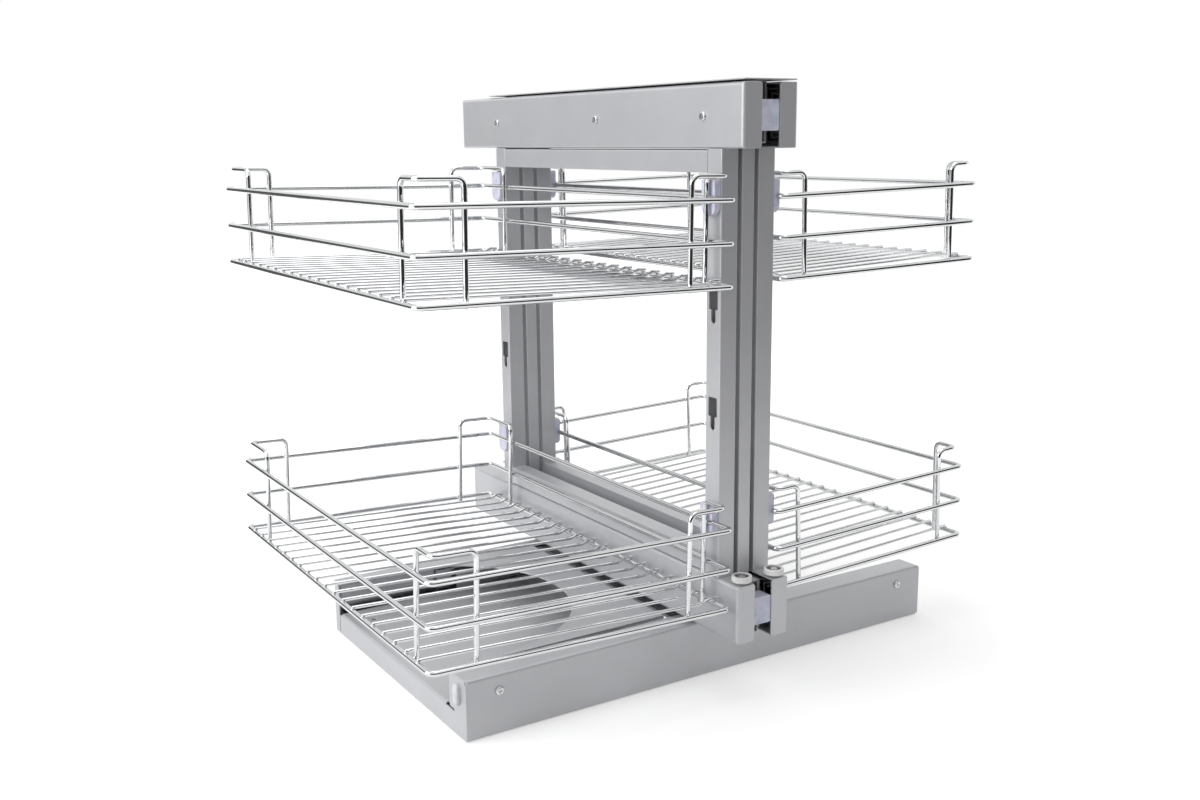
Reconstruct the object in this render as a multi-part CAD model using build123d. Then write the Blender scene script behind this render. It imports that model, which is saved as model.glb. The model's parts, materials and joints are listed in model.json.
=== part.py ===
from build123d import *
import os

# Blind corner pull-out organizer for a kitchen base cabinet.
# A sheet-metal base stands on the cabinet floor. A centre frame slides along X on the base.
# A left and a right frame hang on the centre frame's telescopic slides and pull out along -Y.
# Each side frame carries an upper and a lower wire basket on plastic clips in keyholes.
# Millimetres, +X along the base, +Y into the cabinet, +Z up.
# The origin is on the base's underside, midway along its length and its depth.

# Base
base_length = 525.0
base_depth = 300.0
base_height = 54.0
base_sheet = 1.5
beam_flange = 25.0
base_bend_radius = 2.5
rear_flange = 17.0
rear_return = 10.0
tray_length = 285.0
low_plate_height = 21.5
low_plate_gap = 1.5
front_slot = 7.0
plate_gap = 6.0
scoop_radius = 126.0
scoop_from_left = 55.0
scoop_from_front = 164.5
cap_width = 30.0
cap_relief_length = 17.0
cap_relief_height = 2.6
floor_hole_radius = 2.6
floor_hole_spacing_x = 108.5
floor_hole_from_edge = 47.0
floor_hole_from_left = 22.5
floor_sleeve_wall = 3.0
tool_hole_radius = 3.5
corner_relief_radius = 1.6
beam_corner_radius = 4.0

# Carriage
carriage_rest_from_left = 257.0
carriage_sheet = 2.0
carriage_head_room = 1.0
carriage_skirt = 36.0
riser_length = 230.0
riser_gap = 3.5
riser_edge_chamfer = 1.0

# Frame
frame_length = 506.0
frame_overhang = 71.0
frame_height = 478.5
frame_clearance = 4.0
cover_width = 18.0
cover_height = 53.0
cover_wall = 1.5
cover_edge_radius = 3.0
cover_lip = 1.0
centre_gap = 21.0
post_width = 17.5
post_depth = 20.0
post_wall = 1.5
post_edge_radius = 1.0
front_post_inset = 28.0
rear_post_inset = 79.0
bar_height = 18.7
bar_gap = 1.2

# Centre frame
centre_rail_width = 16.0
centre_rail_edge_radius = 1.5
centre_rail_length = 480.0
centre_rail_front_inset = 16.0
centre_post_width = 13.0
end_block_width = 18.4
end_block_height = 25.0
front_block_inset = 1.0
rear_block_depth = 7.0
end_block_edge_radius = 1.5
top_plate_sheet = 1.0
top_plate_gap = 1.5
top_plate_length = 441.0
top_plate_corner_radius = 3.0

# Keyholes in the side posts
keyhole_count = 4
keyhole_pitch = 93.3
keyhole_lowest_height = 150.4
keyhole_wide = 12.0
keyhole_wide_height = 17.0
keyhole_narrow = 6.0
keyhole_narrow_height = 12.0
keyhole_mouth_radius = 1.0

# Telescopic slides, three members each
slide_height = 45.0
slide_depth = 19.0
slide_sheet = 1.5
slide_ball_gap = 2.6
slide_flange = 12.0
slide_step = 5.5
slide_flange_middle = 9.5
slide_flange_inner = 9.5
frame_slide_length = 480.0
frame_slide_middle_length = 440.0

# Telescopic slide on the base's rear wall
rear_slide_length = 275.0
rear_slide_middle_length = 190.0
rear_slide_inner_length = 150.0
rear_slide_middle_ahead = 20.0
rear_slide_left_inset = 5.5
rear_slide_depth = 12.7
rear_slide_flange = 8.0
rear_slide_step = 3.7
rear_slide_flange_middle = 6.3
rear_slide_flange_inner = 6.3

# Two-member rail in the front beam
front_rail_length = 505.0
front_rail_left_inset = 7.5
front_rail_depth = 14.0
front_rail_flange = 11.5
front_runner_length = 120.0
front_runner_flange = 9.0
front_runner_ahead = 15.5

# Guide rollers
roller_radius = 9.0
roller_height = 5.5
roller_recess_radius = 6.8
roller_recess_depth = 2.0
roller_setback = 8.0
roller_inset = 7.5
roller_edge_radius = 1.0
roller_bore_clearance = 0.05
roller_side_clearance = 0.2
roller_collar_radius = 4.5
roller_collar_height = 1.6
pin_radius = 2.0
pin_head_radius = 3.2
pin_head_height = 1.2
pin_hole_clearance = 0.1

# Screws
screw_head_radius = 4.0
screw_head_height = 2.0
screw_shank_radius = 2.0
screw_hole_clearance = 0.15
screw_recess_width = 0.8
screw_recess_depth = 0.9
beam_screw_from_end = 31.5
beam_screw_height = 39.0
beam_screw_shank = 1.5
cover_screw_shank = 3.0
cover_screw_setbacks = (54.0, 223.0, 422.0)

# End buffer on the base's left end
buffer_length = 19.0
buffer_width = 9.0
buffer_height = 3.5
buffer_from_front = 15.0
buffer_centre_height = 38.0

# Wire baskets
rail_radius = 2.5
hoop_radius = 2.25
floor_radius = 1.5
weld_depth = 0.4
rail_count = 3
rail_spacing = 35.4
hoop_height = 90.0
hoop_foot = 3.5
rail_corner_radius = 6.0
hoop_bend_radius = 7.0
floor_outer_overhang = 1.0
floor_inner_overhang = 4.0
floor_dip = 3.0
floor_step_length = 5.0
floor_step_run = 7.0
floor_bend_radius = 5.0
basket_stand_off = 5.3
left_basket_width = 282.5
right_basket_width = 237.0
left_basket_front_inset = 2.5
right_basket_front_inset = 23.0
basket_rear_setback = 58.0
left_floor_wire_count = 19
right_floor_wire_count = 20
left_hoop_leg = 41.0
right_hoop_leg = 28.0
front_hoop_pitches = 1.5
rear_hoop_pitches = 2.5

# Basket clips
clip_width = 18.0
clip_height = 30.0
clip_depth = 6.0
clip_gap = 0.3
clip_below_neck = 4.8
clip_rail_above_neck = 9.5
clip_groove_clearance = 0.05
clip_foot_radius = 7.5
clip_top_radius = 2.0
clip_neck_clearance = 0.3
clip_head_radius = 5.2
clip_head_height = 3.0

# Places worked out from the sizes above
base_left = -base_length / 2
base_right = base_length / 2
base_front = -base_depth / 2
base_rear = base_depth / 2
base_roof = base_height - base_sheet
tray_right = base_left + tray_length
carriage_rest_x = base_left + carriage_rest_from_left

frame_front = base_front - frame_overhang
frame_rear = frame_front + frame_length
frame_bottom = base_height + frame_clearance
frame_top = frame_bottom + frame_height
low_cover_top = frame_bottom + cover_height
high_cover_bottom = frame_top - cover_height
low_slide_height = frame_bottom + cover_height / 2
high_slide_height = frame_top - cover_height / 2
front_post_face = frame_front + front_post_inset
rear_post_face = frame_rear - rear_post_inset - post_depth
cover_inner = centre_gap / 2
cover_outer = cover_inner + cover_width
post_inner = cover_outer - post_width
centre_rail_front = frame_front + centre_rail_front_inset
centre_rail_rear = centre_rail_front + centre_rail_length
carriage_roof = base_roof - carriage_head_room
low_rail_bottom = base_height + riser_gap
low_rail_top = low_cover_top - (cover_height - slide_height) / 2
high_rail_bottom = high_cover_bottom + (cover_height - slide_height) / 2
top_plate_bottom = frame_top + top_plate_gap
front_rail_face = base_front + base_sheet
rear_slide_face = base_rear - base_sheet
rear_slide_left = base_left + rear_slide_left_inset
rear_slide_right = rear_slide_left + rear_slide_length
low_plate_rear = rear_slide_face - rear_slide_depth - low_plate_gap
beam_slide_height = base_height / 2
roller_centre_y = frame_front + roller_setback
roller_offset = cover_inner + roller_inset
roller_bottom = low_cover_top + roller_collar_height + roller_side_clearance
neck_radius = keyhole_narrow / 2 - clip_neck_clearance

SIDES = {"left": -1, "right": 1}
# Each level of baskets: the keyhole that it hangs in, counted from below, and its rise angle
LEVELS = {"lower": (0, 1.8), "upper": (keyhole_count - 1, 1.0)}


def block(x_range, y_range, z_range):
    """A box between two planes on each axis."""
    spans = [sorted(limits) for limits in (x_range, y_range, z_range)]
    sizes = [high - low for low, high in spans]
    centre = [(high + low) / 2 for low, high in spans]
    return Pos(*centre) * Box(*sizes)


def across(side, distance):
    """X at a distance from the frame's centre plane, towards the left (-1) or the right (1)."""
    return carriage_rest_x + side * distance


def side_block(side, distances, y_range, z_range):
    """A box whose X limits are distances from the frame's centre plane."""
    return block([across(side, distance) for distance in distances], y_range, z_range)


def rod(radius, start, direction, length):
    """A cylinder that starts at a point and runs along a direction."""
    return extrude(Plane(origin=start, z_dir=direction) * Circle(radius), length)


def bent_wire(points, bend_radius, wire_radius):
    """A round wire along straight runs joined by tangent bends."""
    path = FilletPolyline(*points, radius=bend_radius)
    profile = Plane(origin=path @ 0, z_dir=path % 0) * Circle(wire_radius)
    return sweep(profile, path=path)


def pan_screw(face_point, outward, shank_length):
    """A pan head screw on a face, with a cross recess and its shank going into the face."""
    seat = Plane(origin=face_point, z_dir=outward)
    head = extrude(Plane.XY * Circle(screw_head_radius), screw_head_height)
    head = fillet(head.edges().sort_by(Axis.Z)[-1], screw_head_height * 0.7)
    slot_length = screw_head_radius
    slot_height = screw_head_height - screw_recess_depth / 2
    for angle in (0, 90):
        arm = Rot(0, 0, angle) * Box(slot_length, screw_recess_width, screw_recess_depth)
        head -= Pos(0, 0, slot_height) * arm
    shank = Pos(0, 0, -shank_length / 2) * Cylinder(screw_shank_radius, shank_length)
    return seat.location * (head + shank)


def screw_hole(face_point, outward, depth):
    """The clearance hole for a pan head screw, going into the face."""
    inward = Vector(*outward) * -1
    return rod(screw_shank_radius + screw_hole_clearance, face_point, inward, depth)


def channel(length, height, web_face, lip_face, wall):
    """A U section along X: its web's outer face and its lips are distances along Y."""
    toward = 1 if lip_face > web_face else -1
    shell = block((-length / 2, length / 2), (web_face, lip_face), (-height / 2, height / 2))
    hollow_y = (web_face + toward * wall, lip_face + toward)
    hollow_half = height / 2 - wall
    hollow = block((-length, length), hollow_y, (-hollow_half, hollow_half))
    return shell - hollow


def slide_outer_member(length, flange):
    return channel(length, slide_height, 0, flange, slide_sheet)


def slide_middle_member(length, step, flange):
    height = slide_height - 2 * (slide_sheet + slide_ball_gap)
    return channel(length, height, step, step + flange, slide_sheet)


def slide_inner_member(length, depth, flange):
    height = slide_height - 4 * (slide_sheet + slide_ball_gap)
    return channel(length, height, depth, depth - flange, slide_sheet)


# Base pieces
def make_base_front_beam():
    """The long C beam under the cabinet door, with its web to the front."""
    shell = block((base_left, base_right), (base_front, base_front + beam_flange), (0, base_height))
    shell = fillet(shell.edges().filter_by(Axis.X).group_by(Axis.Y)[0], base_bend_radius)
    hollow = block(
        (base_left - 1, base_right + 1),
        (base_front + base_sheet, base_front + beam_flange + 1),
        (base_sheet, base_roof),
    )
    bends = hollow.edges().filter_by(Axis.X).group_by(Axis.Y)[0]
    beam = shell - fillet(bends, base_bend_radius - base_sheet)
    outline = block((base_left, base_right), (base_front, base_front + beam_flange), (0, base_height))
    beam &= fillet(outline.edges().filter_by(Axis.Y).group_by(Axis.X)[-1], beam_corner_radius)
    relief_start = (base_left, base_front, base_roof - base_sheet)
    beam -= rod(corner_relief_radius, relief_start, (0, 0, 1), base_height)
    for point in beam_screw_points():
        beam -= screw_hole(point, (0, -1, 0), base_sheet)
    return beam


def beam_screw_points():
    xs = (base_left + beam_screw_from_end, base_right - beam_screw_from_end)
    return [(x, base_front, beam_screw_height) for x in xs]


def make_base_tray():
    """The floor and the rear wall, with the wall's top flange and its return at the left end."""
    floor = block((base_left, tray_right), (base_front + beam_flange, base_rear), (0, base_sheet))
    rear_wall = block((base_left, tray_right), (rear_slide_face, base_rear), (0, base_height))
    flange_y = (base_rear - rear_flange, base_rear)
    flange = block((base_left, tray_right), flange_y, (base_roof, base_height))
    return_y = (base_rear - rear_return, base_rear)
    rear_corner = block((base_left, base_left + base_sheet), return_y, (0, base_height))
    tray = floor + rear_wall + flange + rear_corner
    for point in floor_hole_points():
        tray -= floor_hole(point, floor_hole_radius)
    return tray


def floor_hole_points():
    xs = (base_left + floor_hole_from_left, base_left + floor_hole_from_left + floor_hole_spacing_x)
    ys = (base_front + floor_hole_from_edge, base_rear - floor_hole_from_edge)
    return [(x, y) for x in xs for y in ys]


def floor_hole(point, radius):
    """An upright cut through every sheet of the base."""
    return rod(radius, (point[0], point[1], -1), (0, 0, 1), base_height + 2)


def top_plate_right():
    """Where the base's cover plate ends, short of the centre frame."""
    return across(-1, cover_outer) - plate_gap


def make_base_low_plate():
    """The low plate beside the carriage: a sheet bent down at its left edge, on four sleeves.

    An ear at its front corner closes the front beam's end, with a relief slot under it. A tongue
    at the rear corner carries the bent edge on to the tray's return.
    """
    right = top_plate_right() - base_sheet
    y_range = (base_front + beam_flange, low_plate_rear)
    shell = block((base_left, right), y_range, (base_sheet, low_plate_height))
    shell = fillet(shell.edges().filter_by(Axis.Y).group_by(Axis.Z)[-1].sort_by(Axis.X)[0], base_bend_radius)
    hollow = block(
        (base_left + base_sheet, right + 1),
        (min(y_range) - 1, max(y_range) + 1),
        (base_sheet - 1, low_plate_height - base_sheet),
    )
    bend = hollow.edges().filter_by(Axis.Y).group_by(Axis.Z)[-1].sort_by(Axis.X)[0]
    plate = shell - fillet(bend, base_bend_radius - base_sheet)
    ear = block(
        (base_left, base_left + base_sheet),
        (front_rail_face, front_rail_face + cap_width),
        (base_sheet, base_roof),
    )
    plate += fillet(ear.edges().filter_by(Axis.X).group_by(Axis.Y)[0], base_bend_radius)
    plate += block(
        (base_left, base_left + base_sheet),
        (low_plate_rear - base_sheet, base_rear - rear_return - low_plate_gap),
        (base_sheet, low_plate_height - base_bend_radius),
    )
    for x, y in floor_hole_points():
        sleeve_radius = floor_hole_radius + floor_sleeve_wall
        plate += rod(sleeve_radius, (x, y, base_sheet), (0, 0, 1), low_plate_height - 2 * base_sheet)
        plate -= floor_hole((x, y), floor_hole_radius)
    relief_y = front_rail_face + cap_width
    relief_z = low_plate_height - base_bend_radius
    return plate - block(
        (base_left - 1, base_left + 2 * base_sheet),
        (relief_y - cap_relief_length / 2, relief_y + cap_relief_length / 2),
        (relief_z, relief_z + cap_relief_height),
    )


def make_base_top_plate():
    """The cover plate left of the carriage, with a right wall and a round scoop in its left side."""
    front = base_front + beam_flange + front_slot
    rear = base_rear - rear_flange
    right = top_plate_right()
    scoop_x = base_left + scoop_from_left
    scoop_y = base_front + scoop_from_front
    plate = block((scoop_x, right), (front, rear), (base_roof, base_height))
    plate += block((right - base_sheet, right), (front, rear), (base_sheet, base_height))
    plate -= rod(scoop_radius, (scoop_x, scoop_y, base_roof - 1), (0, 0, 1), base_sheet + 2)
    for point in floor_hole_points():
        plate -= floor_hole(point, tool_hole_radius)
    return plate


def make_base_screws():
    screws = [pan_screw(point, (0, -1, 0), beam_screw_shank) for point in beam_screw_points()]
    return Compound(children=screws)


def make_end_buffer():
    """The oval plastic buffer on the left skirt, near the front corner."""
    seat = Plane(
        origin=(base_left, base_front + buffer_from_front, buffer_centre_height),
        x_dir=(0, 0, 1),
        z_dir=(-1, 0, 0),
    )
    straight = buffer_length - buffer_width
    body = extrude(seat * SlotCenterToCenter(straight, buffer_width), buffer_height)
    return fillet(body.edges().group_by(Axis.X)[0], buffer_height * 0.5)


def make_front_rail_outer():
    rail = channel(front_rail_length, slide_height, 0, front_rail_flange, slide_sheet)
    x = base_left + front_rail_left_inset + front_rail_length / 2
    return Pos(x, front_rail_face, beam_slide_height) * rail


def make_front_rail_runner():
    height = slide_height - 2 * (slide_sheet + slide_ball_gap)
    lips = front_rail_depth - front_runner_flange
    runner = channel(front_runner_length, height, front_rail_depth, lips, slide_sheet)
    x = carriage_rest_x + front_runner_ahead - front_runner_length / 2
    return Pos(x, front_rail_face, beam_slide_height) * runner


def place_on_rear_wall(member, right_end, length):
    turn = Rot(0, 0, 180)
    return Pos(right_end - length / 2, rear_slide_face, beam_slide_height) * turn * member


# Carriage and centre frame
def make_carriage_plate():
    """The plate under the centre frame, with a skirt to the front runner and one to the rear slide."""
    front = front_rail_face + front_rail_depth
    rear = rear_slide_face - rear_slide_depth
    x_range = (across(-1, cover_outer), across(1, cover_outer))
    bottom = carriage_roof - carriage_skirt
    plate = block(x_range, (front, rear), (carriage_roof - carriage_sheet, carriage_roof))
    plate += block(x_range, (front, front + carriage_sheet), (bottom, carriage_roof))
    plate += block(x_range, (rear - carriage_sheet, rear), (bottom, carriage_roof))
    return plate


def make_carriage_riser():
    """The bar that lifts the centre frame clear of the base's flanges."""
    half = centre_rail_width / 2
    y_range = (-riser_length / 2, riser_length / 2)
    bar = block((across(-1, half), across(1, half)), y_range, (carriage_roof, low_rail_bottom))
    return chamfer(bar.edges().filter_by(Axis.Z), riser_edge_chamfer)


def make_centre_rail(z_range):
    """A box rail with its ends open, between the slides of the two side frames."""
    half = centre_rail_width / 2
    x_range = (across(-1, half), across(1, half))
    rail = block(x_range, (centre_rail_front, centre_rail_rear), z_range)
    rail = fillet(rail.edges().filter_by(Axis.Y), centre_rail_edge_radius)
    bore_x = (across(-1, half - post_wall), across(1, half - post_wall))
    bore_z = (min(z_range) + post_wall, max(z_range) - post_wall)
    bore = block(bore_x, (centre_rail_front - 1, centre_rail_rear + 1), bore_z)
    return rail - bore


def make_centre_post(face_y):
    half = centre_post_width / 2
    y_range = (face_y, face_y + post_depth)
    post = block((across(-1, half), across(1, half)), y_range, (low_rail_top, high_rail_bottom))
    bore_x = (across(-1, half - post_wall), across(1, half - post_wall))
    bore_y = (face_y + post_wall, face_y + post_depth - post_wall)
    bore = block(bore_x, bore_y, (low_rail_top - 1, high_rail_bottom + 1))
    return fillet(post.edges().filter_by(Axis.Z), post_edge_radius) - bore


def make_centre_end_blocks():
    """Plastic end stops, one on each end of each centre rail."""
    half = end_block_width / 2
    heights = (low_slide_height, high_slide_height)
    front_block = (frame_front + front_block_inset, centre_rail_front)
    rear_block = (centre_rail_rear, centre_rail_rear + rear_block_depth)
    blocks = []
    for z in heights:
        for y_range in (front_block, rear_block):
            stop = block(
                (across(-1, half), across(1, half)),
                y_range,
                (z - end_block_height / 2, z + end_block_height / 2),
            )
            blocks.append(fillet(stop.edges().filter_by(Axis.Y), end_block_edge_radius))
    return Compound(children=blocks)


def make_top_plate():
    x_range = (across(-1, cover_outer), across(1, cover_outer))
    y_range = (frame_front, frame_front + top_plate_length)
    plate = block(x_range, y_range, (top_plate_bottom, top_plate_bottom + top_plate_sheet))
    return fillet(plate.edges().filter_by(Axis.Z), top_plate_corner_radius)


# Side frames
def make_cover(side, bottom):
    """A C cover, open towards the centre frame and at the rear, closed at the front."""
    top = bottom + cover_height
    cover = side_block(side, (cover_inner, cover_outer), (frame_front, frame_rear), (bottom, top))
    outer_face = cover.faces().sort_by(Axis.X)[0 if side < 0 else -1]
    cover = fillet(outer_face.edges(), cover_edge_radius)
    hollow = side_block(
        side,
        (cover_inner - 1, cover_outer - cover_wall),
        (frame_front + cover_wall, frame_rear + 1),
        (bottom + cover_wall, top - cover_wall),
    )
    cover -= hollow
    cover += side_block(
        side,
        (cover_inner - cover_lip, cover_inner),
        (frame_front, frame_front + cover_wall),
        (bottom + cover_wall, top - cover_wall),
    )
    for point in cover_screw_points(side, bottom + cover_height / 2):
        cover -= screw_hole(point, (side, 0, 0), cover_wall)
    return cover


def make_low_cover(side):
    cover = make_cover(side, frame_bottom)
    start = (across(side, roller_offset), roller_centre_y, low_cover_top - cover_wall - 1)
    return cover - rod(pin_radius + pin_hole_clearance, start, (0, 0, 1), cover_wall + 2)


def cover_screw_points(side, z):
    return [(across(side, cover_outer), frame_front + setback, z) for setback in cover_screw_setbacks]


def make_centre_slide_outers():
    """The fixed member of each frame slide, on both side faces of both centre rails."""
    member = slide_outer_member(frame_slide_length, slide_flange)
    places = [(side, height) for side in SIDES.values() for height in (low_slide_height, high_slide_height)]
    return Compound(children=[place_beside_rail(member, *place, frame_slide_length) for place in places])


def make_side_slide_middles(side):
    member = slide_middle_member(frame_slide_middle_length, slide_step, slide_flange_middle)
    heights = (low_slide_height, high_slide_height)
    middles = [place_beside_rail(member, side, height, frame_slide_middle_length) for height in heights]
    return Compound(children=middles)


def make_side_slide_inners(side):
    inners = []
    for height in (low_slide_height, high_slide_height):
        member = slide_inner_member(frame_slide_length, slide_depth, slide_flange_inner)
        member = place_beside_rail(member, side, height, frame_slide_length)
        for point in cover_screw_points(side, height):
            start = (across(side, cover_outer - cover_wall), point[1], point[2])
            member -= screw_hole(start, (side, 0, 0), slide_sheet)
        inners.append(member)
    return Compound(children=inners)


def make_side_bar(side, z_range):
    """A box bar between the two posts."""
    y_range = (front_post_face + post_depth, rear_post_face)
    bar = side_block(side, (post_inner, cover_outer), y_range, z_range)
    bar = fillet(bar.edges().filter_by(Axis.Y), post_edge_radius)
    bore_z = (min(z_range) + post_wall, max(z_range) - post_wall)
    bore_y = (y_range[0] - 1, y_range[1] + 1)
    return bar - side_block(side, (post_inner + post_wall, cover_outer - post_wall), bore_y, bore_z)


def make_side_post(side, face_y):
    """A box post with keyholes in its outer face."""
    y_range = (face_y, face_y + post_depth)
    post = side_block(side, (post_inner, cover_outer), y_range, (low_cover_top, high_cover_bottom))
    post = fillet(post.edges().filter_by(Axis.Z), post_edge_radius)
    post -= side_block(
        side,
        (post_inner + post_wall, cover_outer - post_wall),
        (face_y + post_wall, face_y + post_depth - post_wall),
        (low_cover_top - 1, high_cover_bottom + 1),
    )
    for index in range(keyhole_count):
        post -= keyhole_cut(side, face_y + post_depth / 2, keyhole_lowest_height + index * keyhole_pitch)
    return post


def keyhole_cut(side, y, tip):
    """A narrow slot with a round lower end, under a wide mouth."""
    walls = (cover_outer - post_wall - 1, cover_outer + 1)
    half = keyhole_narrow / 2
    narrow = side_block(side, walls, (y - half, y + half), (tip + half, tip + keyhole_narrow_height + 1))
    start = (across(side, min(walls)), y, tip + half)
    narrow += rod(half, start, (side, 0, 0), post_wall + 2)
    mouth_bottom = tip + keyhole_narrow_height
    mouth = side_block(
        side,
        walls,
        (y - keyhole_wide / 2, y + keyhole_wide / 2),
        (mouth_bottom, mouth_bottom + keyhole_wide_height),
    )
    return narrow + fillet(mouth.edges().filter_by(Axis.X), keyhole_mouth_radius)


def place_beside_rail(member, side, height, length):
    """Stand a slide member on the centre rail's side face, running along Y."""
    y = centre_rail_front + length / 2
    turn = Rot(0, 0, 90 if side < 0 else -90)
    return Pos(across(side, centre_rail_width / 2), y, height) * turn * member


def make_cover_screws(side):
    screws = []
    for z in (low_slide_height, high_slide_height):
        for point in cover_screw_points(side, z):
            screws.append(pan_screw(point, (side, 0, 0), cover_screw_shank))
    return Compound(children=screws)


def make_guide_roller(side):
    """A plastic wheel with a recessed top face, free on its pin."""
    wheel = Pos(0, 0, roller_height / 2) * Cylinder(roller_radius, roller_height)
    wheel = fillet(wheel.edges(), roller_edge_radius)
    recess_height = roller_height - roller_recess_depth
    recess = Cylinder(roller_recess_radius, 2 * roller_recess_depth)
    bore = Cylinder(pin_radius + roller_bore_clearance, 2 * roller_height)
    wheel -= Pos(0, 0, recess_height + roller_recess_depth) * recess
    wheel -= Pos(0, 0, roller_height / 2) * bore
    return Pos(across(side, roller_offset), roller_centre_y, roller_bottom) * wheel


def make_roller_pin(side):
    """A shoulder pin: collar under the wheel, head in the wheel's recess."""
    start = (across(side, roller_offset), roller_centre_y, low_cover_top - cover_wall)
    up = (0, 0, 1)
    head_bottom = roller_bottom + roller_height - roller_recess_depth + roller_side_clearance
    pin = rod(pin_radius, start, up, head_bottom - start[2])
    pin += rod(roller_collar_radius, (start[0], start[1], low_cover_top), up, roller_collar_height)
    pin += rod(pin_head_radius, (start[0], start[1], head_bottom), up, pin_head_height)
    return pin


# Baskets
def basket_layout(side, keyhole, rise_angle):
    """Centre lines of one basket before it is turned to its rise angle."""
    name = "left" if side < 0 else "right"
    width = left_basket_width if name == "left" else right_basket_width
    front_inset = left_basket_front_inset if name == "left" else right_basket_front_inset
    neck_height = keyhole_lowest_height + keyhole * keyhole_pitch + keyhole_narrow / 2
    top = neck_height + clip_rail_above_neck
    return {
        "neck_height": neck_height,
        "rise_angle": rise_angle,
        "inner": cover_outer + basket_stand_off,
        "outer": cover_outer + basket_stand_off + width,
        "front": frame_front + front_inset,
        "rear": frame_rear - basket_rear_setback,
        "bottom": top - (rail_count - 1) * rail_spacing,
        "top": top,
        "wires": left_floor_wire_count if name == "left" else right_floor_wire_count,
        "leg": left_hoop_leg if name == "left" else right_hoop_leg,
    }


def turn_basket(side, layout, shape):
    """Raise the basket's outer side about the rail that its clips hold."""
    pivot = Pos(across(side, layout["inner"]), 0, layout["top"])
    return pivot * Rot(0, -side * layout["rise_angle"], 0) * pivot.inverse() * shape


def rail_loop(side, layout, z):
    """A closed rectangular wire with round corners."""
    xs = sorted((across(side, layout["inner"]), across(side, layout["outer"])))
    ys = (layout["front"], layout["rear"])
    centre = Plane(origin=((xs[0] + xs[1]) / 2, (ys[0] + ys[1]) / 2, z))
    path = (centre * RectangleRounded(xs[1] - xs[0], ys[1] - ys[0], rail_corner_radius)).wire()
    profile = Plane(origin=path @ 0, z_dir=path % 0) * Circle(rail_radius)
    return sweep(profile, path=path)


def corner_hoop(side, layout, at_outer, at_front):
    """A wire bent round one corner inside the rails, standing above the top rail."""
    inset = rail_radius + hoop_radius - weld_depth
    pitch = (layout["rear"] - layout["front"]) / (layout["wires"] + 1)
    reach = layout["outer"] - inset if at_outer else layout["inner"] + inset
    leg_reach = layout["outer"] - layout["leg"] if at_outer else layout["inner"] + layout["leg"]
    y = layout["front"] + inset if at_front else layout["rear"] - inset
    if at_front:
        leg_y = layout["front"] + front_hoop_pitches * pitch
    else:
        leg_y = layout["rear"] - rear_hoop_pitches * pitch
    low = layout["bottom"] - hoop_foot
    high = layout["bottom"] + hoop_height
    points = [
        (across(side, reach), leg_y, low),
        (across(side, reach), leg_y, high),
        (across(side, reach), y, high),
        (across(side, leg_reach), y, high),
        (across(side, leg_reach), y, low),
    ]
    return bent_wire(points, hoop_bend_radius, hoop_radius)


def make_basket_rails(side, layout):
    """Rail loops, one above the other."""
    heights = [layout["bottom"] + index * rail_spacing for index in range(rail_count)]
    return Compound(children=[turn_basket(side, layout, rail_loop(side, layout, z)) for z in heights])


def make_basket_hoops(side, layout):
    """Four corner hoops, welded to the inside of the rails."""
    corners = [(at_outer, at_front) for at_outer in (False, True) for at_front in (False, True)]
    hoops = [corner_hoop(side, layout, *corner) for corner in corners]
    return Compound(children=[turn_basket(side, layout, hoop) for hoop in hoops])


def make_basket_floor(side, layout):
    """Wires across the bottom rail, welded on top of it, each stepping up to its inner end."""
    pitch = (layout["rear"] - layout["front"]) / (layout["wires"] + 1)
    high = layout["bottom"] + rail_radius + floor_radius - weld_depth
    step_top = layout["inner"] + floor_step_length
    wires = []
    for index in range(layout["wires"]):
        y = layout["front"] + (index + 1) * pitch
        points = [
            (across(side, layout["outer"] + floor_outer_overhang), y, high),
            (across(side, step_top + floor_step_run), y, high - floor_dip),
            (across(side, step_top), y, high),
            (across(side, layout["inner"] - floor_inner_overhang), y, high),
        ]
        wires.append(turn_basket(side, layout, bent_wire(points, floor_bend_radius, floor_radius)))
    return Compound(children=wires)


def make_basket_clips(side, layout):
    """Two clips that hook into the posts' keyholes and grip the top rail's inner run."""
    post_centres = [face_y + post_depth / 2 for face_y in (front_post_face, rear_post_face)]
    return Compound(children=[make_clip(side, y, layout) for y in post_centres])


def make_clip(side, y, layout):
    neck_height = layout["neck_height"]
    bottom = neck_height - clip_below_neck
    body = side_block(
        side,
        (cover_outer + clip_gap, cover_outer + clip_gap + clip_depth),
        (y - clip_width / 2, y + clip_width / 2),
        (bottom, bottom + clip_height),
    )
    rims = body.edges().filter_by(Axis.X)
    body = fillet(rims.group_by(Axis.Z)[0], clip_foot_radius)
    body = fillet(body.edges().filter_by(Axis.X).group_by(Axis.Z)[-1], clip_top_radius)
    groove_start = (across(side, layout["inner"]), y - clip_width, layout["top"])
    body -= rod(rail_radius + clip_groove_clearance, groove_start, (0, 1, 0), 2 * clip_width)
    neck_start = across(side, cover_outer + clip_gap)
    neck_length = post_wall + 2 * clip_gap
    body += rod(neck_radius, (neck_start, y, neck_height), (-side, 0, 0), neck_length)
    head_start = across(side, cover_outer - post_wall - clip_gap)
    body += rod(clip_head_radius, (head_start, y, neck_height), (-side, 0, 0), clip_head_height)
    return body


def write(name, shape):
    shape.label = name
    export_step(shape, f"parts/{name}.step")


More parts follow.
